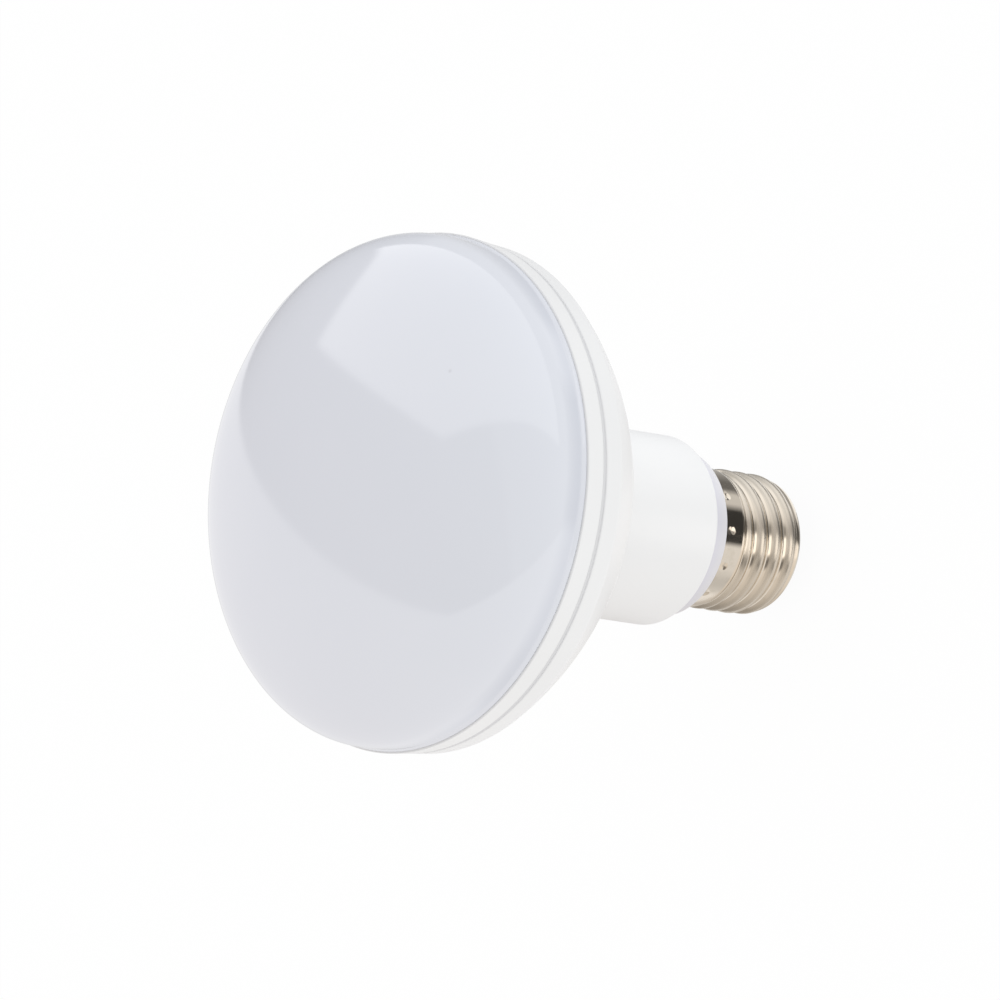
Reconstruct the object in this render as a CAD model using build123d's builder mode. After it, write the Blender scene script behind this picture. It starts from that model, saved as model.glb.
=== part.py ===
import os
from math import cos, pi, sin, sqrt

from build123d import *

# Reflector lamp with a domed diffuser and a 27 mm screw cap.
# Millimetres. The lamp's axis is Z, the tip of the centre contact is the origin and the dome is on top.
# An inset or a draft is a step on the radius. Heights follow each other up the axis.

# Centre contact and insulator
contact_d = 9.6
contact_height = 1.0
contact_edge = 0.5
stem_d = 2.8
stem_length = 3.6
insulator_height = 4.2  # part that shows between the contact and the shell
insulator_rim = 1.0  # insulator around the contact
insulator_flange = 2.4  # thickness above the shell's lip

# Screw shell, pressed from sheet with a rolled round thread
shell_sheet = 0.3
lip_width = 1.175
curl_radius = 1.6
thread_crest_d = 26.2
thread_depth = 1.05
thread_pitch = 3.629
thread_length = 12.9
thread_run_out = 2.2
thread_start_angle = 276.0
skirt_inset = 0.15  # inside the thread's crest
skirt_slope = 0.8
skirt_height = 6.5
crimp_count = 12
crimp_drop = 3.3  # below the top of the shell
crimp_start_angle = 9.3
crimp_ball_d = 3.2
crimp_depth = 0.2
crimp_channel_width = 2.6
crimp_channel_depth = 0.5

# Collar between cap and neck
collar_length = 4.0
collar_draft = 1.45
collar_seat_depth = 2.0
plug_inset = 2.8
plug_length = 8.0

# Housing
neck_d = 35.2
neck_length = 27.0
neck_lip = 0.7  # wall around the collar's seat
neck_end_round = 1.6
neck_root_fillet = 2.5
bowl_radius = 60.0
bowl_height = 28.1  # root of the neck up to the groove
band_height = 4.4
band_inset = 0.55
band_draft = 0.35
band_edge = 4.0

# Front ring
rim_d = 95.0  # widest part of the lamp
ring_height = 4.6
ring_draft = 0.3
ring_wall = 1.6
ring_edge = 0.35
groove_width = 0.6
groove_wall = 0.55  # ring's wall behind the groove

# Diffuser
flange_inset = 0.35
flange_height = 1.4
boss_depth = 2.8  # part inside the ring
dome_inset = 0.58
dome_stand = 1.84  # straight foot of the dome
dome_rise = 21.06

# Clearance on the radius between nested pieces
fit = 0.1

# Heights that follow, from the tip of the contact to the crown
shell_bottom = contact_height + insulator_height
insulator_top = shell_bottom + shell_sheet + insulator_flange
thread_bottom = shell_bottom + curl_radius
thread_top = thread_bottom + thread_length
skirt_bottom = thread_top + skirt_slope
cap_top = skirt_bottom + skirt_height
crimp_height = cap_top - crimp_drop
neck_end = cap_top + collar_length
collar_seat = neck_end + collar_seat_depth
plug_top = collar_seat + plug_length
neck_root = neck_end + neck_length
rim_height = neck_root + bowl_height
groove_bottom = rim_height - groove_width / 2
groove_top = rim_height + groove_width / 2
ring_top = rim_height + ring_height
deck_height = ring_top - boss_depth
flange_top = ring_top + flange_height
dome_base = flange_top + dome_stand

# Radii that follow
thread_crest_r = thread_crest_d / 2
thread_root_r = thread_crest_r - thread_depth
thread_mean_r = thread_crest_r - thread_depth / 2
curl_centre_r = thread_mean_r - curl_radius
lip_r = curl_centre_r - lip_width
core_r = thread_root_r - shell_sheet - fit
skirt_r = thread_crest_r - skirt_inset
skirt_bore_r = skirt_r - shell_sheet
spigot_r = skirt_bore_r - fit
neck_r = neck_d / 2
seat_r = neck_r - neck_lip
collar_top_r = seat_r - fit
collar_bottom_r = collar_top_r - collar_draft
plug_r = collar_top_r - plug_inset
rim_r = rim_d / 2
ring_bottom_r = rim_r - ring_draft
ring_bore_r = ring_bottom_r - ring_wall
groove_floor_r = ring_bore_r + groove_wall
boss_r = ring_bore_r - fit
band_top_r = rim_r - band_inset
band_bottom_r = band_top_r - band_draft
flange_r = rim_r - flange_inset
dome_r = rim_r - dome_inset

os.makedirs("parts", exist_ok=True)

# Centre contact: a round-edged button with a stem in the insulator
with BuildPart() as centre_contact:
    Cylinder(contact_d / 2, contact_height, align=(Align.CENTER, Align.CENTER, Align.MIN))
    fillet(centre_contact.edges().group_by(Axis.Z)[0], contact_edge)
    with Locations((0, 0, contact_height)):
        Cylinder(stem_d / 2, stem_length, align=(Align.CENTER, Align.CENTER, Align.MIN))
centre_contact.part.label = "centre_contact"
export_step(centre_contact.part, "parts/centre_contact.step")

# Insulator: rests on the shell's lip and tapers to the contact
with BuildPart() as cap_insulator:
    with BuildSketch(Plane.XZ):
        with BuildLine():
            Polyline(
                (0, contact_height),
                (contact_d / 2 + insulator_rim, contact_height),
                (lip_r - fit, shell_bottom),
                (lip_r - fit, shell_bottom + shell_sheet),
                (curl_centre_r, shell_bottom + shell_sheet),
                (curl_centre_r, insulator_top),
                (0, insulator_top),
                close=True,
            )
        make_face()
    revolve(axis=Axis.Z)
    with Locations((0, 0, contact_height)):
        Cylinder(
            stem_d / 2 + fit,
            stem_length + fit,
            align=(Align.CENTER, Align.CENTER, Align.MIN),
            mode=Mode.SUBTRACT,
        )
cap_insulator.part.label = "cap_insulator"
export_step(cap_insulator.part, "parts/cap_insulator.step")


# Centre of the shell's round section: it winds about the axis once a pitch and returns to it at both ends
def thread_centre(height):
    share = min(1.0, (height - thread_bottom) / thread_run_out, (thread_top - height) / thread_run_out)
    lift = thread_depth / 2 * share * share * (3 - 2 * share)
    turn = 2 * pi * (height - thread_bottom) / thread_pitch + thread_start_angle * pi / 180
    return (lift * cos(turn), lift * sin(turn), height)


# Screw shell: the thread is the shell's own round section carried up a small right-hand helix
steps_per_turn = 8
thread_steps = round(thread_length / thread_pitch * steps_per_turn)
thread_heights = [thread_bottom + thread_length * step / thread_steps for step in range(thread_steps + 1)]
thread_sides = {thread_mean_r: Mode.ADD, thread_mean_r - shell_sheet: Mode.SUBTRACT}

with BuildPart() as screw_shell:
    for side_r, mode in thread_sides.items():
        for height in thread_heights:
            with BuildSketch(Plane(thread_centre(height))):
                Circle(side_r)
        loft(ruled=True, mode=mode)
    with BuildSketch(Plane.XZ):
        with BuildLine():
            Polyline(
                (thread_mean_r, thread_top),
                (skirt_r, skirt_bottom),
                (skirt_r, cap_top),
                (skirt_bore_r, cap_top),
                (skirt_bore_r, skirt_bottom),
                (thread_mean_r - shell_sheet, thread_top),
                close=True,
            )
        make_face()
    revolve(axis=Axis.Z)
    with BuildSketch(Plane.XZ):
        with BuildLine():
            outside = CenterArc((curl_centre_r, thread_bottom), curl_radius, -90, 90)
            inside = CenterArc((curl_centre_r, thread_bottom), curl_radius - shell_sheet, -90, 90)
            Line(outside @ 1, inside @ 1)
            Polyline(
                outside @ 0,
                (lip_r, shell_bottom),
                (lip_r, shell_bottom + shell_sheet),
                inside @ 0,
            )
        make_face()
    revolve(axis=Axis.Z)
    with Locations((0, 0, crimp_height)):
        with PolarLocations(skirt_r + crimp_ball_d / 2 - crimp_depth, crimp_count, crimp_start_angle):
            Sphere(crimp_ball_d / 2, mode=Mode.SUBTRACT)
screw_shell.part.label = "screw_shell"
export_step(screw_shell.part, "parts/screw_shell.step")

# Collar: a tapered band below the neck, a plug inside it and a core inside the screw shell
with BuildPart() as cap_collar:
    with BuildSketch(Plane.XZ):
        with BuildLine():
            Polyline(
                (0, insulator_top),
                (core_r, insulator_top),
                (core_r, skirt_bottom),
                (spigot_r, skirt_bottom + fit),
                (spigot_r, cap_top),
                (collar_bottom_r, cap_top),
                (collar_top_r, neck_end),
                (collar_top_r, collar_seat),
                (plug_r, collar_seat),
                (plug_r, plug_top),
                (0, plug_top),
                close=True,
            )
        make_face()
    revolve(axis=Axis.Z)
    with BuildSketch(Plane.XZ):
        with Locations((spigot_r, crimp_height)):
            Rectangle(2 * crimp_channel_depth, crimp_channel_width)
    revolve(axis=Axis.Z, mode=Mode.SUBTRACT)
cap_collar.part.label = "cap_collar"
export_step(cap_collar.part, "parts/cap_collar.step")

# Housing: band, bowl and neck in one moulding, with a spigot for the ring and a seat for the collar
with BuildPart() as housing:
    with BuildSketch(Plane.XZ) as body:
        with BuildLine():
            band_bottom = (band_bottom_r, rim_height - band_height)
            bowl = RadiusArc(band_bottom, (neck_r, neck_root), bowl_radius)
            neck = Line(bowl @ 1, (neck_r, neck_end))
            Polyline(
                neck @ 1,
                (0, neck_end),
                (0, deck_height),
                (boss_r, deck_height),
                (boss_r, groove_bottom),
                (band_top_r, groove_bottom),
                bowl @ 0,
            )
        make_face()
        fillet(body.vertices().sort_by_distance(bowl @ 0)[0], band_edge)
        fillet(body.vertices().sort_by_distance(bowl @ 1)[0], neck_root_fillet)
        fillet(body.vertices().sort_by_distance(neck @ 1)[0], neck_end_round)
        fillet(body.vertices().group_by(Axis.X)[-1], ring_edge)
    revolve(axis=Axis.Z)
    with Locations((0, 0, neck_end)):
        Cylinder(
            seat_r,
            collar_seat_depth,
            align=(Align.CENTER, Align.CENTER, Align.MIN),
            mode=Mode.SUBTRACT,
        )
        Cylinder(
            plug_r + fit,
            collar_seat_depth + plug_length + fit,
            align=(Align.CENTER, Align.CENTER, Align.MIN),
            mode=Mode.SUBTRACT,
        )
housing.part.label = "housing"
export_step(housing.part, "parts/housing.step")

# Front ring: seats on the housing behind the groove and holds the diffuser
with BuildPart() as front_ring:
    with BuildSketch(Plane.XZ) as hoop:
        with BuildLine():
            Polyline(
                (ring_bore_r, groove_bottom),
                (groove_floor_r, groove_bottom),
                (groove_floor_r, groove_top),
                (ring_bottom_r, groove_top),
                (rim_r, ring_top),
                (ring_bore_r, ring_top),
                close=True,
            )
        make_face()
        fillet(hoop.vertices().sort_by_distance((ring_bottom_r, groove_top))[0], ring_edge)
        fillet(hoop.vertices().sort_by_distance((rim_r, ring_top))[0], ring_edge)
    revolve(axis=Axis.Z)
front_ring.part.label = "front_ring"
export_step(front_ring.part, "parts/front_ring.step")

# Diffuser: a dome of half an ellipse in section, with a flange on the ring and a boss inside it
ellipse_handle = 4 / 3 * (sqrt(2) - 1)  # for a cubic curve that follows a quarter of an ellipse

with BuildPart() as diffuser:
    with BuildSketch(Plane.XZ):
        with BuildLine():
            crown = Bezier(
                (dome_r, dome_base),
                (dome_r, dome_base + ellipse_handle * dome_rise),
                (ellipse_handle * dome_r, dome_base + dome_rise),
                (0, dome_base + dome_rise),
            )
            Polyline(
                crown @ 0,
                (dome_r, flange_top),
                (flange_r, flange_top),
                (flange_r, ring_top),
                (boss_r, ring_top),
                (boss_r, deck_height),
                (0, deck_height),
                crown @ 1,
            )
        make_face()
    revolve(axis=Axis.Z)
diffuser.part.label = "diffuser"
export_step(diffuser.part, "parts/diffuser.step")
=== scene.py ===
import math

import bpy
import numpy as np
from mathutils import Matrix, Vector


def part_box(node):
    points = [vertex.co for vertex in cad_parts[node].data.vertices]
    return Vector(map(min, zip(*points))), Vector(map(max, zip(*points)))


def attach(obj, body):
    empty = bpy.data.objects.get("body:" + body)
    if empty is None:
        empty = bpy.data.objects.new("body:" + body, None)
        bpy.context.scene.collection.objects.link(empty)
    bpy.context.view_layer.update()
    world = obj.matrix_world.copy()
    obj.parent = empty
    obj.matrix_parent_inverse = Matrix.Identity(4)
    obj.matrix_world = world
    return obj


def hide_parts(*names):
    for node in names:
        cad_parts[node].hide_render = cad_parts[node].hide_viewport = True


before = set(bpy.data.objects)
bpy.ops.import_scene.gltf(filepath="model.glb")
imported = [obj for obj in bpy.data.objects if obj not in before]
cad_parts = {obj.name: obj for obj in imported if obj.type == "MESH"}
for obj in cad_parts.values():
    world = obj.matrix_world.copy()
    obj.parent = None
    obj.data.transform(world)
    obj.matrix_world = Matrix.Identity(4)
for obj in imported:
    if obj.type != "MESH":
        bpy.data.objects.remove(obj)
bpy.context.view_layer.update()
mm = 0.001  # shapes are worked out in millimetres
tiny = 1e-6  # shorter than this is no length
print("frame:", ", ".join(sorted(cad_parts)))


# bottom and top of a solid, in millimetres
def heights(node):
    low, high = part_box(node)
    return low.z / mm, high.z / mm


# a socket that can be used in sums: each sign adds one Math node
class Wire:
    def __init__(self, graph, socket):
        self.graph = graph
        self.socket = socket

    def sum(self, operation, *values):
        return self.graph.add("ShaderNodeMath", {"operation": operation}, dict(enumerate(values)))

    def __add__(self, other):
        return self.sum("ADD", self, other)

    __radd__ = __add__

    def __sub__(self, other):
        return self.sum("SUBTRACT", self, other)

    def __rsub__(self, other):
        return self.sum("SUBTRACT", other, self)

    def __mul__(self, other):
        return self.sum("MULTIPLY", self, other)

    __rmul__ = __mul__

    def __truediv__(self, other):
        return self.sum("DIVIDE", self, other)

    def __pow__(self, other):
        return self.sum("POWER", self, other)


# the nodes of one finish
class Graph:
    def __init__(self, owner):
        owner.use_nodes = True
        self.tree = owner.node_tree
        self.tree.nodes.clear()

    def add(self, kind, settings=None, inputs=None, output=0):
        node = self.tree.nodes.new(kind)
        for key, value in (settings or {}).items():
            if key == "stops":
                self.setStops(node.color_ramp, value)
            else:
                setattr(node, key, value)
        for key, value in (inputs or {}).items():
            if isinstance(value, Wire):
                self.tree.links.new(value.socket, node.inputs[key])
            else:
                node.inputs[key].default_value = value
        return Wire(self, node.outputs[output]) if node.outputs else node

    def setStops(self, ramp, stops):
        while len(ramp.elements) < len(stops):
            ramp.elements.new(1.0)
        for element, (place, colour) in zip(ramp.elements, stops):
            element.position = place
            element.color = colour

    def place(self):
        return self.add("ShaderNodeTexCoord", output="Object")

    def axes(self, vector):
        split = self.add("ShaderNodeSeparateXYZ", {}, {0: vector})
        return [Wire(self, socket) for socket in split.socket.node.outputs]

    def noise(self, vector, scale, detail=2.0, roughness=0.5):
        return self.add(
            "ShaderNodeTexNoise",
            {"noise_dimensions": "3D"},
            {"Vector": vector, "Scale": scale, "Detail": detail, "Roughness": roughness},
        )

    # noise along one length alone, for rings and turned lines
    def lines(self, length, scale, detail):
        return self.add(
            "ShaderNodeTexNoise",
            {"noise_dimensions": "1D"},
            {"W": length, "Scale": scale, "Detail": detail},
        )

    def smooth(self, value, low, high):
        return self.add(
            "ShaderNodeMapRange",
            {"interpolation_type": "SMOOTHSTEP"},
            {"Value": value, "From Min": low, "From Max": high},
        )

    def grey(self, value):
        return self.add("ShaderNodeCombineColor", {}, {0: value, 1: value, 2: value})

    def levels(self, value, stops):
        stops = [(place, colour(*np.broadcast_to(level, 3))) for place, level in stops]
        return self.add("ShaderNodeValToRGB", {"stops": stops}, {"Fac": value})

    def mix(self, share, first, second):
        return self.add("ShaderNodeMix", {"data_type": "RGBA"}, {0: share, 6: first, 7: second}, output=2)

    # a sum of two vectors that gives one number
    def measure(self, operation, first, second):
        vectors = {0: first, 1: second}
        return self.add("ShaderNodeVectorMath", {"operation": operation}, vectors, output="Value")

    def dot(self, vector, direction):
        return self.measure("DOT_PRODUCT", vector, direction)

    def bump(self, height, distance, strength=1.0):
        return self.add("ShaderNodeBump", {}, {"Height": height, "Distance": distance, "Strength": strength})

    def finish(self, shader):
        self.add("ShaderNodeOutputMaterial", {}, {"Surface": shader})

    def glow(self, tone):
        return self.add("ShaderNodeEmission", {}, {"Color": tone, "Strength": 1.0})


def colour(red, green, blue):
    return (red, green, blue, 1.0)


# opal cover: even milky white, faint clouds, painted shade round its foot, one dark speck in the moulding
opalSettings = {
    "milk": colour(0.731, 0.741, 0.794),
    "cloud": colour(0.738, 0.747, 0.799),
    "cloudScale": 38.0,
    "cloudEdge": (0.35, 0.65),
    "roughness": 0.09,
    "roughnessSpread": 0.02,
    "speckPlace": (22.47, -25.81, 108.35),
    "speckRadius": 0.55,
    "speckColour": colour(0.65, 0.652, 0.7),
    # painted shade round the cover's foot: its colour and its heights above the ring's top
    "paintedFootShade": colour(0.67, 0.683, 0.743),
    "paintedFootHeights": (0.55, 1.6, 5.0),
    "rippleScale": 160.0,
    "rippleHeight": 0.004,
    "ior": 1.586,
}


def opalFinish(footBase):
    s = opalSettings
    material = bpy.data.materials.new("opal_cover")
    graph = Graph(material)
    place = graph.place()
    clouds = graph.noise(place, s["cloudScale"], 3.0)
    milk = graph.mix(graph.smooth(clouds, *s["cloudEdge"]), s["milk"], s["cloud"])
    speckAt = tuple(value * mm for value in s["speckPlace"])
    away = graph.measure("DISTANCE", place, speckAt)
    speck = 1 - graph.smooth(away, 0.0, s["speckRadius"] * mm)
    # painted shade: a band round the cover's foot, rising to its middle and fading out above, stands in for
    # the darker reflection there
    start, middle, end = ((footBase + rise) * mm for rise in s["paintedFootHeights"])
    height = graph.axes(place)[2]
    foot = graph.smooth(height, start, middle) * (1 - graph.smooth(height, middle, end))
    milk = graph.mix(foot, milk, s["paintedFootShade"])
    ripple = graph.noise(place, s["rippleScale"], 2.0)
    shader = graph.add(
        "ShaderNodeBsdfPrincipled",
        {},
        {
            "Base Color": graph.mix(speck, milk, s["speckColour"]),
            "Roughness": s["roughness"] + (clouds - 0.5) * s["roughnessSpread"],
            "IOR": s["ior"],
            "Normal": graph.bump(ripple, s["rippleHeight"] * mm),
        },
    )
    graph.finish(shader)
    return material


# moulded plastic: one colour with faint flow clouds and a fine grained skin, with painted shade in bands
# round seams
plasticSettings = {
    "white": {
        "tone": colour(0.844, 0.837, 0.839),
        "flow": colour(0.854, 0.847, 0.849),
        # painted shade colour for the seams of the white plastic
        "paintedShade": colour(0.68, 0.676, 0.688),
        "roughness": 0.42,
        "grainHeight": 0.006,
    },
    "collar": {
        "tone": colour(0.69, 0.675, 0.7),
        "flow": colour(0.7, 0.686, 0.711),
        # painted shade colour for the collar towards the neck
        "paintedShade": colour(0.653, 0.64, 0.697),
        "roughness": 0.38,
        "grainHeight": 0.006,
    },
    "insulator": {
        "tone": colour(0.018, 0.018, 0.02),
        "flow": colour(0.028, 0.028, 0.03),
        "roughness": 0.22,
        "grainHeight": 0.004,
    },
    "flowScale": 45.0,
    "flowEdge": (0.3, 0.7),
    "grainScale": 2600.0,
    "roughnessSpread": 0.08,
    "ior": 1.5,
}


# a band is (middle, reach, share): its share of the painted shade at that height, none at the reach above and
# below
def plasticFinish(name, paintedShadeBands=()):
    s = plasticSettings
    tint = s[name]
    material = bpy.data.materials.new("moulded_" + name)
    graph = Graph(material)
    place = graph.place()
    flow = graph.noise(place, s["flowScale"], 3.0)
    grain = graph.noise(place, s["grainScale"], 2.0)
    tone = graph.mix(graph.smooth(flow, *s["flowEdge"]), tint["tone"], tint["flow"])
    height = graph.axes(place)[2]
    # each band paints shade into the tone
    for middle, reach, share in paintedShadeBands:
        away = height.sum("ABSOLUTE", height - middle * mm)
        tone = graph.mix((1 - graph.smooth(away, 0.0, reach * mm)) * share, tone, tint["paintedShade"])
    shader = graph.add(
        "ShaderNodeBsdfPrincipled",
        {},
        {
            "Base Color": tone,
            "Roughness": tint["roughness"] + (flow - 0.5) * s["roughnessSpread"],
            "IOR": s["ior"],
            "Normal": graph.bump(grain, tint["grainHeight"] * mm),
        },
    )
    graph.finish(shader)
    return material


# bright plating on pressed sheet: warm nickel with fine lines round the axis, scuffed on the thread's crests
nickelSettings = {
    "bright": colour(0.68, 0.61, 0.52),
    "dull": colour(0.5, 0.435, 0.35),
    "scuffed": colour(0.6, 0.545, 0.47),
    "scuffEdge": (0.3, 0.7),
    "roughness": 0.09,
    "scuffRoughness": 0.21,
    "lineScale": 3200.0,
    "lineHeight": 0.003,
    "blotchScale": 420.0,
    "dullEdge": (0.5, 0.8),
    "dullShare": 0.35,
    "roughnessSpread": 0.06,
}


def nickelFinish():
    s = nickelSettings
    material = bpy.data.materials.new("nickel_plate")
    graph = Graph(material)
    place = graph.place()
    relief = graph.add("ShaderNodeAttribute", {"attribute_name": "relief"}, {}, output="Fac")
    scuff = graph.smooth(relief, *s["scuffEdge"])
    blotch = graph.noise(place, s["blotchScale"], 4.0, 0.6)
    dull = graph.smooth(blotch, *s["dullEdge"]) * s["dullShare"]
    plate = graph.mix(dull, s["bright"], s["dull"])
    lines = graph.lines(graph.axes(place)[2], s["lineScale"], 3.0)
    shader = graph.add(
        "ShaderNodeBsdfPrincipled",
        {},
        {
            "Base Color": graph.mix(scuff, plate, s["scuffed"]),
            "Metallic": 1.0,
            "Roughness": s["roughness"] + scuff * s["scuffRoughness"] + (blotch - 0.5) * s["roughnessSpread"],
            "Normal": graph.bump(lines, s["lineHeight"] * mm),
        },
    )
    graph.finish(shader)
    return material


# tinned contact: grey satin metal with turned rings
contactSettings = {
    "tin": colour(0.62, 0.60, 0.56),
    "worn": colour(0.48, 0.45, 0.40),
    "roughness": 0.3,
    "roughnessSpread": 0.2,
    "wearScale": 600.0,
    "wearEdge": (0.45, 0.7),
    "ringScale": 2500.0,
    "ringHeight": 0.004,
}


def contactFinish():
    s = contactSettings
    material = bpy.data.materials.new("tinned_contact")
    graph = Graph(material)
    place = graph.place()
    x, y = graph.axes(place)[:2]
    rings = graph.lines((x * x + y * y) ** 0.5, s["ringScale"], 2.0)
    wear = graph.noise(place, s["wearScale"], 4.0)
    shader = graph.add(
        "ShaderNodeBsdfPrincipled",
        {},
        {
            "Base Color": graph.mix(graph.smooth(wear, *s["wearEdge"]), s["tin"], s["worn"]),
            "Metallic": 1.0,
            "Roughness": s["roughness"] + (wear - 0.5) * s["roughnessSpread"],
            "Normal": graph.bump(rings, s["ringHeight"] * mm),
        },
    )
    graph.finish(shader)
    return material


def unit(vector):
    return vector / np.linalg.norm(vector)


# points of a straight run, with one close to each end so that smooth shading stays flat between them
def run(start, end, support=0.12):
    length = np.linalg.norm(end - start)
    if length < tiny:
        return [start]
    near = min(support, 0.25 * length) / length
    return [start + (end - start) * share for share in (0.0, near, 0.5, 1.0 - near)]


# outline in (radius, height): straight runs, each corner an arc of its own radius, tangent to both runs
# arc: centre = corner + bisector * radius / sin(half angle), from one tangent point to the other
def roundedPath(corners, arcSteps=8):
    places = [np.array(corner[:2], float) for corner in corners]
    rounds = [corner[2] if len(corner) > 2 else 0.0 for corner in corners]
    path = []
    last = places[0]
    for before, corner, after, radius in zip(places[:-2], places[1:-1], places[2:], rounds[1:-1]):
        if radius == 0.0:
            path += run(last, corner)
            last = corner
            continue
        toBefore = unit(before - corner)
        toAfter = unit(after - corner)
        half = math.acos(float(np.clip(toBefore @ toAfter, -1.0, 1.0))) / 2
        reach = radius / math.tan(half)
        centre = corner + unit(toBefore + toAfter) * radius / math.sin(half)
        start = corner + toBefore * reach
        path += run(last, start)
        first = math.atan2(*(start - centre)[::-1])
        turn = toBefore[0] * toAfter[1] - toBefore[1] * toAfter[0]
        angles = first - math.copysign(math.pi - 2 * half, turn) * np.linspace(0.0, 1.0, arcSteps + 1)
        path += list(centre + radius * np.stack([np.cos(angles), np.sin(angles)], 1))
        last = path.pop()
    path += run(last, places[-1])
    path.append(places[-1])
    return np.array(path)


# outline turned about the lamp's axis: (r cos a, r sin a, h), with one vertex where it meets the axis
# the outline runs up the outside, so faces point outwards
def spin(path, turns=288):
    starts = path[0, 0] < tiny
    ends = path[-1, 0] < tiny
    rings = path[int(starts): len(path) - int(ends)]
    angle = np.arange(turns) / turns * 2 * math.pi
    radius, height = rings[:, :1], rings[:, 1:]
    grid = np.stack([radius * np.cos(angle), radius * np.sin(angle), height + angle * 0], 2)
    vertices = grid.reshape(-1, 3)
    faces = gridFaces(len(rings), turns, closed=not starts)
    ring = np.arange(turns)
    following = np.roll(ring, -1)
    top = (len(rings) - 1) * turns
    if starts:
        vertices = np.vstack([vertices, [0, 0, path[0, 1]]])
        faces += np.stack([following, ring, ring * 0 + len(vertices) - 1], 1).tolist()
    if ends:
        vertices = np.vstack([vertices, [0, 0, path[-1, 1]]])
        faces += np.stack([top + ring, top + following, ring * 0 + len(vertices) - 1], 1).tolist()
    return vertices, faces


# quads of a grid of rings, closed round each ring and, if asked, from the last ring to the first
def gridFaces(rows, columns, closed):
    row = np.arange(rows if closed else rows - 1)[:, None]
    column = np.arange(columns)[None, :]
    above = (row + 1) % rows
    beside = (column + 1) % columns
    places = [(row, column), (row, beside), (above, beside), (above, column)]
    return np.stack([across * columns + along for across, along in places], 2).reshape(-1, 4).tolist()


def makePiece(name, vertices, faces, material, node):
    mesh = bpy.data.meshes.new(name)
    mesh.from_pydata((vertices * mm).tolist(), [], faces)
    mesh.shade_smooth()
    mesh.materials.append(material)
    piece = bpy.data.objects.new(name, mesh)
    bpy.context.scene.collection.objects.link(piece)
    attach(piece, "root")
    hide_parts(node)
    print("piece:", name, len(mesh.vertices), "vertices")
    return piece


# opal cover: foot and flange on the ring, then half an ellipse: r = a cos t, h = base + b sin t
coverSizes = {
    "domeRadius": 46.92,
    "domeRise": 21.06,
    "flangeRadius": 47.15,
    "flangeSide": 0.3,
    "flangeSlope": 0.65,
    "flangeRound": 0.4,
    "domeFillet": 0.8,
    "bossRadius": 45.5,
    "bossEdge": 0.3,
    "edge": 0.08,
}


def makeCover():
    s = coverSizes
    deck, crown = heights("diffuser")
    ringTop = heights("front_ring")[1]
    slope = ringTop + s["flangeSide"]
    base = crown - s["domeRise"]
    foot = roundedPath(
        [
            (0, deck),
            (s["bossRadius"], deck, s["bossEdge"]),
            (s["bossRadius"], ringTop),
            (s["flangeRadius"], ringTop, s["edge"]),
            (s["flangeRadius"], slope, s["flangeRound"]),
            (s["domeRadius"], slope + s["flangeSlope"], s["domeFillet"]),
            (s["domeRadius"], base),
        ]
    )
    t = np.linspace(0.0, math.pi / 2, 97)
    dome = np.stack([s["domeRadius"] * np.cos(t), base + s["domeRise"] * np.sin(t)], 1)
    dome[-1, 0] = 0.0
    vertices, faces = spin(np.vstack([foot[:-1], dome]))
    return makePiece("opalCover", vertices, faces, opalFinish(ringTop), "diffuser")


# front ring: drafted band with rounded edges, stepped in at the groove
ringSizes = {
    "topRadius": 47.5,
    "bottomRadius": 47.02,
    "boreRadius": 45.6,
    "grooveRadius": 46.88,
    "grooveWidth": 0.6,
    "edge": 0.3,
}


def makeRing(material):
    s = ringSizes
    bottom, top = heights("front_ring")
    grooveTop = bottom + s["grooveWidth"]
    path = roundedPath(
        [
            (s["boreRadius"], bottom),
            (s["grooveRadius"], bottom),
            (s["grooveRadius"], grooveTop),
            (s["bottomRadius"], grooveTop, s["edge"]),
            (s["topRadius"], top, s["edge"]),
            (s["boreRadius"], top),
            (s["boreRadius"], bottom),
        ]
    )
    vertices, faces = spin(path[:-1])
    return makePiece("frontRing", vertices, faces, material, "front_ring")


# body: band, bowl on one arc, neck with a rounded end, bored for the collar
bodySizes = {
    "bandTopRadius": 46.95,
    "bandBottomRadius": 46.6,
    "bandHeight": 4.1,
    "bandEdge": 2.0,
    "topEdge": 0.35,
    "bowlRadius": 60.0,
    "bowlBlend": 40.0,
    "neckRadius": 17.6,
    "neckLength": 27.0,
    "rootFillet": 1.2,
    "endRound": 0.9,
    "endRise": 0.1,
    "seatRadius": 16.9,
    "seatDepth": 2.0,
    "seatEnd": 0.2,
    "plugRadius": 14.1,
    "plugDepth": 10.1,
    "plugGap": 0.1,
    "spigotRadius": 45.5,
}


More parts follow.
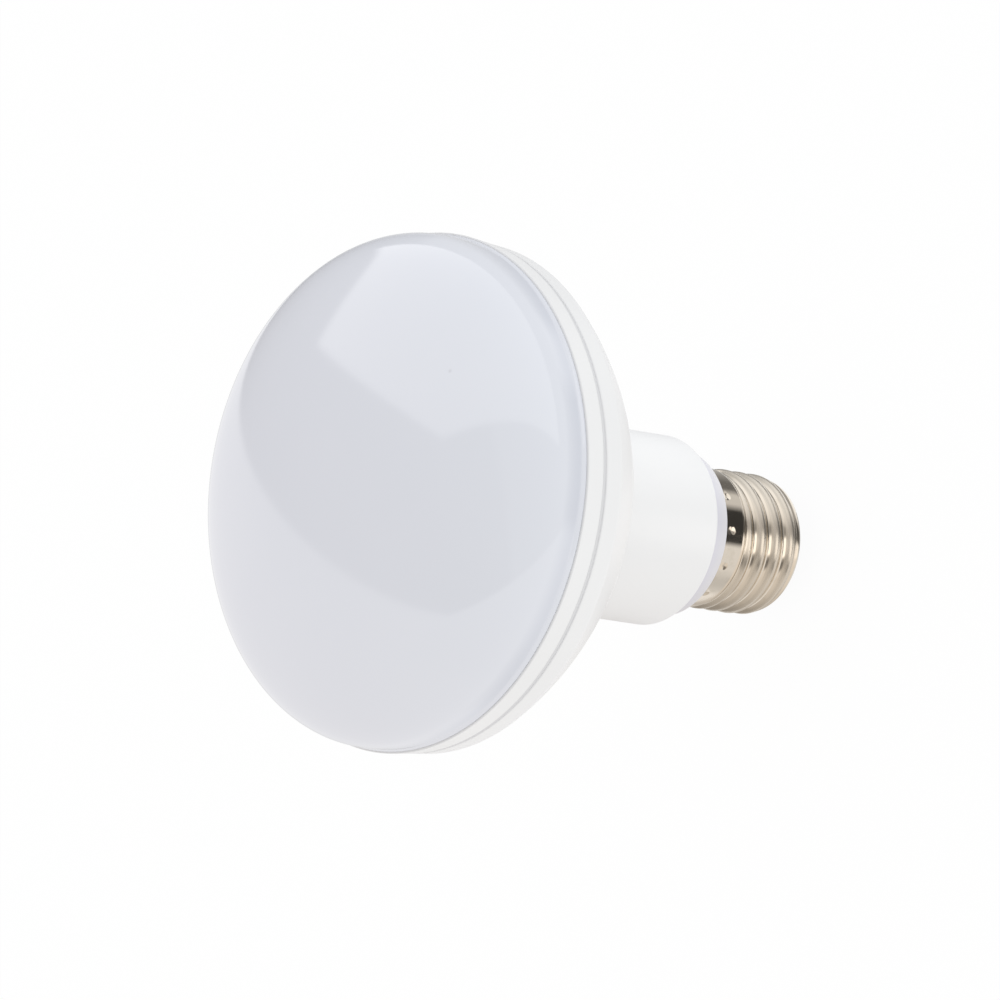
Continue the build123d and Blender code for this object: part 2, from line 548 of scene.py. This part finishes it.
def makeBody(material):
    s = bodySizes
    deck = heights("housing")[1]
    neckEnd = heights("cap_collar")[1] - s["plugDepth"] + s["plugGap"]
    grooveBottom = heights("front_ring")[0]
    neckRoot = neckEnd + s["neckLength"]
    start = np.array([s["neckRadius"], neckRoot])
    end = np.array([s["bandBottomRadius"], grooveBottom - s["bandHeight"]])
    chord = end - start
    middle = (start + end) / 2
    inward = unit(np.array([-chord[1], chord[0]]))
    centre = middle + inward * math.sqrt(s["bowlRadius"] ** 2 - chord @ chord / 4)
    first, last = (math.atan2(*(point - centre)[::-1]) for point in (start, end))
    angles = np.linspace(first, last, 13)[1:-1]
    bowl = centre + s["bowlRadius"] * np.stack([np.cos(angles), np.sin(angles)], 1)
    endCentre = np.array([s["neckRadius"] - s["endRound"], neckEnd + s["endRise"] + s["endRound"]])
    endTurn = np.linspace(-math.acos((s["seatRadius"] - endCentre[0]) / s["endRound"]), 0.0, 9)
    corners = [
        (0, neckEnd + s["plugDepth"]),
        (s["plugRadius"], neckEnd + s["plugDepth"]),
        (s["plugRadius"], neckEnd + s["seatDepth"]),
        (s["seatRadius"], neckEnd + s["seatDepth"]),
        (s["seatRadius"], neckEnd + s["endRise"] + s["seatEnd"]),
    ]
    endArc = endCentre + s["endRound"] * np.stack([np.cos(endTurn), np.sin(endTurn)], 1)
    corners += [tuple(point) for point in endArc]
    corners += [(s["neckRadius"], neckRoot, s["rootFillet"])]
    corners += [(*point, s["bowlBlend"]) for point in bowl]  # blends the bowl's short runs
    corners += [
        (*end, s["bandEdge"]),
        (s["bandTopRadius"], grooveBottom, s["topEdge"]),
        (s["spigotRadius"], grooveBottom),
        (s["spigotRadius"], deck),
        (0, deck),
    ]
    vertices, faces = spin(roundedPath(corners))
    return makePiece("body", vertices, faces, material, "housing")


# collar: cone between neck and cap, plug above it, core inside the shell
collarSizes = {
    "topRadius": 16.8,
    "bottomRadius": 15.35,
    "length": 4.0,
    "seatDepth": 2.0,
    "plugRadius": 14.0,
    "spigotRadius": 12.55,
    "coreRadius": 11.65,
    "spigotLength": 6.4,
    "edge": 0.25,
}


def makeCollar():
    s = collarSizes
    bottom, top = heights("cap_collar")
    capTop = heights("screw_shell")[1]
    neckEnd = capTop + s["length"]
    path = roundedPath(
        [
            (0, bottom),
            (s["coreRadius"], bottom),
            (s["coreRadius"], capTop - s["spigotLength"]),
            (s["spigotRadius"], capTop - s["spigotLength"]),
            (s["spigotRadius"], capTop),
            (s["bottomRadius"], capTop, s["edge"]),
            (s["topRadius"], neckEnd, s["edge"]),
            (s["topRadius"], neckEnd + s["seatDepth"]),
            (s["plugRadius"], neckEnd + s["seatDepth"]),
            (s["plugRadius"], top),
            (0, top),
        ]
    )
    vertices, faces = spin(path, turns=192)
    # painted shade on the collar, darkest at the neck's end where the neck shadows it
    material = plasticFinish("collar", [(neckEnd, s["length"], 1.0)])  # darker towards the neck
    return makePiece("capCollar", vertices, faces, material, "cap_collar")


# screw shell: pressed sheet, lip and curl at the foot, rolled round thread, plain skirt with punched crimps
shellSizes = {
    "sheet": 0.3,
    "lipRadius": 9.8,
    "curlRadius": 1.6,
    "crestRadius": 13.1,
    "threadDepth": 1.05,
    "pitch": 3.629,
    "threadLength": 12.9,
    "runOut": 1.3,
    "startAngle": 137.0,
    "skirtRadius": 12.95,
    "slope": 0.8,
    "crimps": 12,
    "crimpStart": 9.3,
    "crimpDrop": 3.3,
    "crimpDepth": 0.26,
    "crimpReach": 0.9,
    "crimpPower": 1.25,
    "crimpScuff": 0.8,
    "crimpColumns": 15,
    "plainColumns": 10,
    "rowsPerPitch": 26,
}


# round thread: equal arcs about crest and root that meet at half depth, x = distance from the crest
# crest: y = sqrt(R^2 - x^2) - (R - rise), root: the same turned over, R = (quarter^2 + rise^2) / (2 rise)
def roundThread(turns, pitch, depth):
    x = np.abs((turns + 0.5) % 1.0 - 0.5) * pitch
    quarter = pitch / 4
    rise = depth / 2
    arc = (quarter * quarter + rise * rise) / (2 * rise)
    fromPeak = np.where(x < quarter, x, pitch / 2 - x)
    lift = np.sqrt(arc * arc - fromPeak * fromPeak) - (arc - rise)
    return np.where(x < quarter, lift, -lift)


def ease(share):
    share = np.clip(share, 0.0, 1.0)
    return share * share * (3 - 2 * share)


# section of the sheet's outside, from the lip to the skirt's top: radius, height, outward direction
def shellSection(bottom, top):
    s = shellSizes
    mean = s["crestRadius"] - s["threadDepth"] / 2
    curlCentre = mean - s["curlRadius"]
    threadBottom = bottom + s["curlRadius"]
    threadTop = threadBottom + s["threadLength"]
    skirtBottom = threadTop + s["slope"]
    crimp = top - s["crimpDrop"]
    lip = np.linspace(s["lipRadius"], curlCentre, 4)[:-1]
    bend = np.linspace(-math.pi / 2, 0.0, 11)[:-1]
    rows = round(s["threadLength"] / s["pitch"] * s["rowsPerPitch"])
    thread = np.linspace(threadBottom, threadTop, rows + 1)[:-1]
    slope = np.linspace(0.0, 1.0, 9)[:-1]
    skirt = np.concatenate(
        [
            np.linspace(skirtBottom, crimp - s["crimpReach"], 6)[:-1],
            np.linspace(crimp - s["crimpReach"], crimp + s["crimpReach"], 19)[:-1],
            np.linspace(crimp + s["crimpReach"], top, 6),
        ]
    )
    radius = np.concatenate(
        [
            lip,
            curlCentre + s["curlRadius"] * np.cos(bend),
            thread * 0 + mean,
            mean + (s["skirtRadius"] - mean) * ease(slope),
            skirt * 0 + s["skirtRadius"],
        ]
    )
    height = np.concatenate(
        [
            lip * 0 + bottom,
            threadBottom + s["curlRadius"] * np.sin(bend),
            thread,
            threadTop + (skirtBottom - threadTop) * slope,
            skirt,
        ]
    )
    flat = np.zeros_like(lip)
    upright = np.ones(len(thread) + len(slope) + len(skirt))
    outR = np.concatenate([flat, np.cos(bend), upright])
    outH = np.concatenate([flat - 1, np.sin(bend), upright * 0])
    return radius, height, outR, outH, threadBottom, threadTop, crimp


def makeShell():
    s = shellSizes
    radius, height, outR, outH, threadBottom, threadTop, crimp = shellSection(*heights("screw_shell"))
    sector = 2 * math.pi / s["crimps"]
    reach = s["crimpReach"] / s["skirtRadius"]
    punched = np.linspace(-reach, reach, s["crimpColumns"])
    plain = np.linspace(reach, sector - reach, s["plainColumns"])[1:-1]
    offsets = np.concatenate([punched, plain])
    centres = math.radians(s["crimpStart"]) + sector * np.arange(s["crimps"])
    angle = (centres[:, None] + offsets[None, :]).ravel()
    fromCrimp = np.tile(np.where(offsets > sector / 2, offsets - sector, offsets), s["crimps"])

    share = ease(np.minimum(height - threadBottom, threadTop - height) / s["runOut"])[:, None]
    turned = (math.radians(s["startAngle"]) - angle) / (2 * math.pi)
    turns = (height - threadBottom)[:, None] / s["pitch"] + turned[None, :]
    wave = roundThread(turns, s["pitch"], s["threadDepth"]) * share
    away = np.hypot(fromCrimp[None, :] * s["skirtRadius"], height[:, None] - crimp) / s["crimpReach"]
    punch = s["crimpDepth"] * (1 - np.clip(away, 0.0, 1.0)) ** s["crimpPower"]  # pointed punch
    shift = wave - punch

    # the sheet's outside up to the skirt's edge, then its inside back down to the lip
    outside = radius[:, None] + shift
    inside = (radius - outR * s["sheet"])[:, None] + shift
    allRadius = np.vstack([outside, inside[::-1]])
    allHeight = np.concatenate([height, (height - outH * s["sheet"])[::-1]])[:, None] + 0 * angle[None, :]
    grid = np.stack([allRadius * np.cos(angle), allRadius * np.sin(angle), allHeight], 2)
    piece = makePiece(
        "screwShell",
        grid.reshape(-1, 3),
        gridFaces(len(allRadius), len(angle), closed=True),
        nickelFinish(),
        "screw_shell",
    )
    # relief: 1 at the thread's crest, 0 at its root and on the plain skirt
    relief = np.where(share > 0, 0.5 + wave / s["threadDepth"], 0.0)
    relief = relief + punch / s["crimpDepth"] * s["crimpScuff"]
    values = np.vstack([relief, relief[::-1]]).ravel().astype(np.float32)
    piece.data.attributes.new("relief", "FLOAT", "POINT").data.foreach_set("value", values)
    return piece


# insulator: cone from the shell's lip to the contact, with a rounded rim
insulatorSizes = {
    "rimRadius": 5.8,
    "lipRadius": 9.7,
    "lipEdge": 0.1,
    "flangeRadius": 10.975,
    "sheet": 0.3,
    "edge": 0.4,
}


def makeInsulator():
    s = insulatorSizes
    bottom, top = heights("cap_insulator")
    lip = heights("screw_shell")[0]
    path = roundedPath(
        [
            (0, bottom),
            (s["rimRadius"], bottom, s["edge"]),
            (s["lipRadius"], lip, s["lipEdge"]),
            (s["lipRadius"], lip + s["sheet"]),
            (s["flangeRadius"], lip + s["sheet"]),
            (s["flangeRadius"], top),
            (0, top),
        ]
    )
    vertices, faces = spin(path, turns=128)
    material = plasticFinish("insulator")
    return makePiece("capInsulator", vertices, faces, material, "cap_insulator")


# contact: round-edged button on a stem
contactSizes = {"radius": 4.8, "thickness": 1.0, "edge": 0.5, "stemRadius": 1.4}


def makeContact():
    s = contactSizes
    bottom, top = heights("centre_contact")
    path = roundedPath(
        [
            (0, bottom),
            (s["radius"], bottom, s["edge"]),
            (s["radius"], bottom + s["thickness"]),
            (s["stemRadius"], bottom + s["thickness"]),
            (s["stemRadius"], top),
            (0, top),
        ]
    )
    vertices, faces = spin(path, turns=96)
    return makePiece("centreContact", vertices, faces, contactFinish(), "centre_contact")


# painted shade in the white plastic's seams, at the groove, the ring's top and the neck's root: drop below
# the seam, reach and share of a band
paintedSeamShade = {"groove": (0.1, 0.85, 1.0), "ringTop": (0.0, 0.5, 0.8), "neckRoot": (0.0, 0.8, 0.35)}


def paintedSeamBands():
    ringBottom, ringTop = heights("front_ring")
    places = {
        "groove": ringBottom + ringSizes["grooveWidth"] / 2,
        "ringTop": ringTop,
        "neckRoot": heights("screw_shell")[1] + collarSizes["length"] + bodySizes["neckLength"],
    }
    return [(places[name] - drop, reach, share) for name, (drop, reach, share) in paintedSeamShade.items()]


# white plastic with painted shade in its seams
whitePlastic = plasticFinish("white", paintedSeamBands())
makeCover()
makeRing(whitePlastic)
makeBody(whitePlastic)
makeCollar()
makeShell()
makeInsulator()
makeContact()


def addStage(name, vertices, faces, material):
    mesh = bpy.data.meshes.new(name)
    mesh.from_pydata(np.asarray(vertices).tolist(), [], faces)
    mesh.shade_smooth()
    mesh.materials.append(material)
    item = bpy.data.objects.new(name, mesh)
    bpy.context.scene.collection.objects.link(item)
    return item


# floor: pale, white to the camera, and it keeps the lamp's shadow
floorSettings = {"reach": 6.0, "drop": 0.0002, "paint": colour(0.98, 0.98, 0.98), "whiteShare": 0.95}


def makeFloor():
    s = floorSettings
    material = bpy.data.materials.new("floor_paint")
    graph = Graph(material)
    outputs = graph.add("ShaderNodeLightPath").socket.node.outputs
    rays = ("Is Camera Ray", "Is Glossy Ray", "Is Transmission Ray")
    camera, glossy, clear = (Wire(graph, outputs[ray]) for ray in rays)
    seen = camera.sum("MAXIMUM", camera.sum("MAXIMUM", camera, glossy), clear)
    matt = graph.add("ShaderNodeBsdfDiffuse", {}, {"Color": s["paint"]})
    glow = graph.glow(colour(1, 1, 1))
    graph.finish(graph.add("ShaderNodeMixShader", {}, {0: seen * s["whiteShare"], 1: matt, 2: glow}))
    r, z = s["reach"], -s["drop"]
    corners = [(-r, -r, z), (r, -r, z), (r, r, z), (-r, r, z)]
    floor = addStage("floor", corners, [[0, 1, 2, 3]], material)
    floor.visible_glossy = False
    floor.visible_diffuse = False
    return floor


# a glowing shape that the camera and one other kind of ray don't see
def addGlow(name, vertices, faces, material, hidden):
    material.cycles.emission_sampling = "NONE"
    item = addStage(name, vertices, faces, material)
    for kind in ("visible_camera", "visible_shadow", "visible_transmission", hidden):
        setattr(item, kind, False)


# ball round the stage
def addBall(name, radius, material, hidden):
    rise = np.linspace(-math.pi / 2, math.pi / 2, 49)
    path = radius * np.stack([np.cos(rise), np.sin(rise)], 1)
    path[[0, -1], 0] = 0.0
    addGlow(name, *spin(path, turns=96), material, hidden)


# mirrored studio: the panels and dark gaps that the lamp mirrors, seen by mirror rays alone
# a direction d is inside an edge where d . normal > offset
mirrorSettings = {
    "radius": 5.0,
    "dim": 0.28,
    "near": 0.5,
    "softbox": 1.25,
    "table": 1.08,
    "softboxFar": 0.15,
    "tableFar": -0.1,
    "farEdge": (0.1, 0.75),
    "soft": 0.012,
    "nearEdge": ((0.601, -0.686, -0.41), 0.0),
    "nearSoft": 0.05,
    "softboxEdges": [
        ((-0.18, -0.982, -0.053), -0.909),
        ((0.995, -0.091, 0.044), 0.239),
        ((0.871, 0.434, -0.23), 0.038),
        ((0.0, 0.0, 1.0), -0.13),
    ],
    "tableEdges": [((-0.91, 0.363, -0.203), 0.278), ((-0.933, 0.073, -0.352), 0.186)],
    "lowEdge": (0.42, 0.56),
    "underEdge": (0.72, 0.83),
    "underLevels": [
        (0.0, 0.95),
        (0.25, 0.95),
        (0.28, 0.85),
        (0.33, 0.6),
        (0.39, 0.2),
        (0.45, 0.3),
        (0.55, 0.48),
        (0.61, 0.65),
        (0.7, 0.45),
        (0.75, 0.75),
        (0.79, 0.95),
        (1.0, 0.95),
    ],
    "lowLevels": [
        (0.0, 0.85),
        (0.03, 0.76),
        (0.06, 0.76),
        (0.12, 0.98),
        (0.228, 1.0),
        (0.252, 0.05),
        (0.395, 0.05),
        (0.43, 0.82),
        (0.48, 0.82),
        (0.515, 0.2),
        (0.56, 0.2),
        (0.64, 0.44),
        (0.76, 0.7),
        (0.86, 1.0),
        (0.96, 1.15),
        (1.0, 0.85),
    ],
}


def makeMirrorBall():
    s = mirrorSettings
    material = bpy.data.materials.new("mirror_ball")
    graph = Graph(material)
    direction = graph.add("ShaderNodeVectorMath", {"operation": "NORMALIZE"}, {0: graph.place()})

    def inside(edge, soft=s["soft"]):
        normal, limit = edge
        return graph.smooth(graph.dot(direction, normal), limit - soft, limit + soft)

    left, low, right, rim = (inside(edge) for edge in s["softboxEdges"])
    softbox = left * low * right * rim
    tableLeft, tableRight = (inside(edge) for edge in s["tableEdges"])
    table = 1 - (1 - tableLeft) * (1 - tableRight)
    dim = s["dim"] + inside(s["nearEdge"], s["nearSoft"]) * (s["near"] - s["dim"])
    x, y, z = graph.axes(direction)
    far = graph.smooth(y, *s["farEdge"])
    level = dim * (1 - softbox - table)
    level = level + softbox * (1 + far * s["softboxFar"]) * s["softbox"]
    level = level + table * (1 + far * s["tableFar"]) * s["table"]
    glow = graph.grey(level)
    turn = y.sum("ARCTAN2", y, x) / (2 * math.pi) + 0.5
    for edge, levels in (("lowEdge", "lowLevels"), ("underEdge", "underLevels")):
        glow = graph.mix(graph.smooth(0 - z, *s[edge]), glow, graph.levels(turn, s[levels]))
    graph.finish(graph.glow(glow))
    addBall("mirrorBall", s["radius"], material, "visible_diffuse")


# cards that only mirror rays see, parts of one cylinder about the axis: one beside the cap and the neck, and
# two lower ones that the thread mirrors; a row of levels is (turn about the axis in degrees, glow)
# two rows are one above the other and change over at the join
cardSettings = {
    "radius": 0.04,
    "join": (0.026, 0.034),
    "warm": (1.06, 1.0, 0.93),
    "cool": (0.98, 1.0, 1.02),
    "tintTurn": (250, 350),
    "cards": {
        "capCard": {
            "turn": (130.0, 392.0),
            "heights": (0.004, 0.076),
            "rows": [
                [
                    (130, 0.42),
                    (157, 0.44),
                    (172, 0.6),
                    (187, 0.68),
                    (202, 0.8),
                    (217, 0.88),
                    (236, 0.94),
                    (243, 0.3),
                    (251, 0.22),
                    (256, 0.5),
                    (261, 1.7),
                    (283, 1.7),
                    (287, 0.6),
                    (291, 0.36),
                    (298, 0.44),
                    (307, 0.98),
                    (320, 1.25),
                    (337, 1.38),
                    (355, 1.34),
                    (372, 1.0),
                    (392, 0.6),
                ],
                [
                    (130, 0.5),
                    (157, 0.52),
                    (187, 0.76),
                    (210, 0.82),
                    (232, 0.72),
                    (243, 0.5),
                    (251, 0.5),
                    (262, 0.85),
                    (277, 0.9),
                    (288, 0.6),
                    (299, 0.64),
                    (310, 0.9),
                    (322, 1.08),
                    (342, 1.16),
                    (360, 1.0),
                    (392, 0.5),
                ],
            ],
        },
        "underCard": {
            "turn": (95.0, 320.0),
            "heights": (-0.075, -0.007),
            "rows": [
                [
                    (95, 0.98),
                    (112, 0.9),
                    (127, 0.66),
                    (142, 0.6),
                    (160, 0.68),
                    (187, 0.8),
                    (210, 0.93),
                    (247, 1.0),
                    (258, 1.05),
                    (263, 1.35),
                    (279, 1.35),
                    (283, 0.8),
                    (287, 0.15),
                    (310, 0.1),
                    (320, 0.5),
                ]
            ],
        },
        "sideCard": {
            "turn": (320.0, 422.0),
            "heights": (-0.075, -0.014),
            "rows": [[(320, 0.7), (332, 1.1), (345, 1.3), (382, 1.3), (397, 1.25), (422, 1.15)]],
        },
    },
}


# warm on the low side of the picture, cool on the high one
def cardColour(turn, level):
    s = cardSettings
    return [level * np.interp(turn, s["tintTurn"], ends) for ends in zip(s["warm"], s["cool"])]


def bendCard(name, turn, ends, material):
    angle = np.radians(np.linspace(*turn, 97))
    around = cardSettings["radius"] * np.stack([np.cos(angle), np.sin(angle), angle * 0], 1)
    vertices = np.vstack([around + [0, 0, height] for height in ends])
    step = np.arange(len(angle) - 1)
    faces = np.stack([step, step + 1, step + 1 + len(angle), step + len(angle)], 1).tolist()
    addGlow(name, vertices, faces, material, "visible_diffuse")


def makeCards():
    for name, card in cardSettings["cards"].items():
        material = bpy.data.materials.new(name + "_glow")
        graph = Graph(material)
        x, y, z = graph.axes(graph.place())
        first, last = card["turn"]
        # two turns more, so that it is never negative
        fromFirst = y.sum("ARCTAN2", y, x) * (180 / math.pi) + (720 - first)
        share = fromFirst.sum("MODULO", fromFirst, 360.0) / (last - first)
        rows = []
        for row in card["rows"]:
            stops = [((turn - first) / (last - first), cardColour(turn, level)) for turn, level in row]
            rows.append(graph.levels(share, stops))
        glow = rows[0]
        if len(rows) == 2:
            glow = graph.mix(graph.smooth(z, *cardSettings["join"]), *rows)
        graph.finish(graph.glow(glow))
        bendCard(name, card["turn"], card["heights"], material)


# fill light: an even glow from all round with a slight slope, seen by matt surfaces alone
# glow = level + slope . d for each colour, d = direction from the lamp; below the horizon d has no height and
# its x and y fade out; the glow is dimmer towards the table side
fillSettings = {
    "radius": 5.2,
    "level": (1.11, 1.11, 1.11),
    "slopes": [(0.06, 0.035, -0.228), (0.085, 0.01, -0.228), (0.105, 0.015, -0.228)],
    "lowFade": (0.0, 0.6),
    "tableSide": (-0.86, 0.0, -0.51),
    "tableEdge": (0.5, 0.95),
    "tableDrop": 0.17,
}


def makeFillBall():
    s = fillSettings
    material = bpy.data.materials.new("fill_ball")
    graph = Graph(material)
    direction = graph.add("ShaderNodeVectorMath", {"operation": "NORMALIZE"}, {0: graph.place()})
    x, y, z = graph.axes(direction)
    kept = 1 - graph.smooth(0 - z, *s["lowFade"])
    raised = graph.add("ShaderNodeCombineXYZ", {}, {0: x * kept, 1: y * kept, 2: z.sum("MAXIMUM", z, 0.0)})
    left = 1 - graph.smooth(graph.dot(direction, s["tableSide"]), *s["tableEdge"]) * s["tableDrop"]
    tones = [(graph.dot(raised, slope) + level) * left for slope, level in zip(s["slopes"], s["level"])]
    glow = graph.add("ShaderNodeCombineColor", {}, dict(enumerate(tones)))
    graph.finish(graph.glow(glow))
    addBall("fillBall", s["radius"], material, "visible_glossy")


def makeWorld():
    world = bpy.data.worlds.new("white_room")
    bpy.context.scene.world = world
    graph = Graph(world)
    back = graph.add("ShaderNodeBackground", {}, {"Color": colour(1, 1, 1), "Strength": 1.0})
    graph.add("ShaderNodeOutputWorld", {}, {"Surface": back})


# camera: where the photograph was taken from, with its own roll
cameraSettings = {
    "eye": (0.001122, -1.647641, 1.503408),
    "forward": (0.0, 0.754343, -0.656481),
    "up": (0.988079, 0.101065, 0.116131),
    "lens": 432.0,
    "sensor": 36.0,
    "clip": (0.05, 50.0),
}


def makeCamera():
    s = cameraSettings
    data = bpy.data.cameras.new("camera")
    data.lens = s["lens"]
    data.sensor_width = s["sensor"]
    data.clip_start, data.clip_end = s["clip"]
    back = -Vector(s["forward"]).normalized()
    right = Vector(s["up"]).cross(back).normalized()
    up = back.cross(right)
    turn = Matrix((right, up, back)).transposed()
    camera = bpy.data.objects.new("camera", data)
    camera.matrix_world = Matrix.Translation(s["eye"]) @ turn.to_4x4()
    bpy.context.scene.collection.objects.link(camera)
    bpy.context.scene.camera = camera


makeFloor()
makeMirrorBall()
makeCards()
makeFillBall()
makeWorld()
makeCamera()
bpy.context.scene.view_settings.view_transform = "Standard"
print("stage: floor, two balls of light, cards, world and camera")
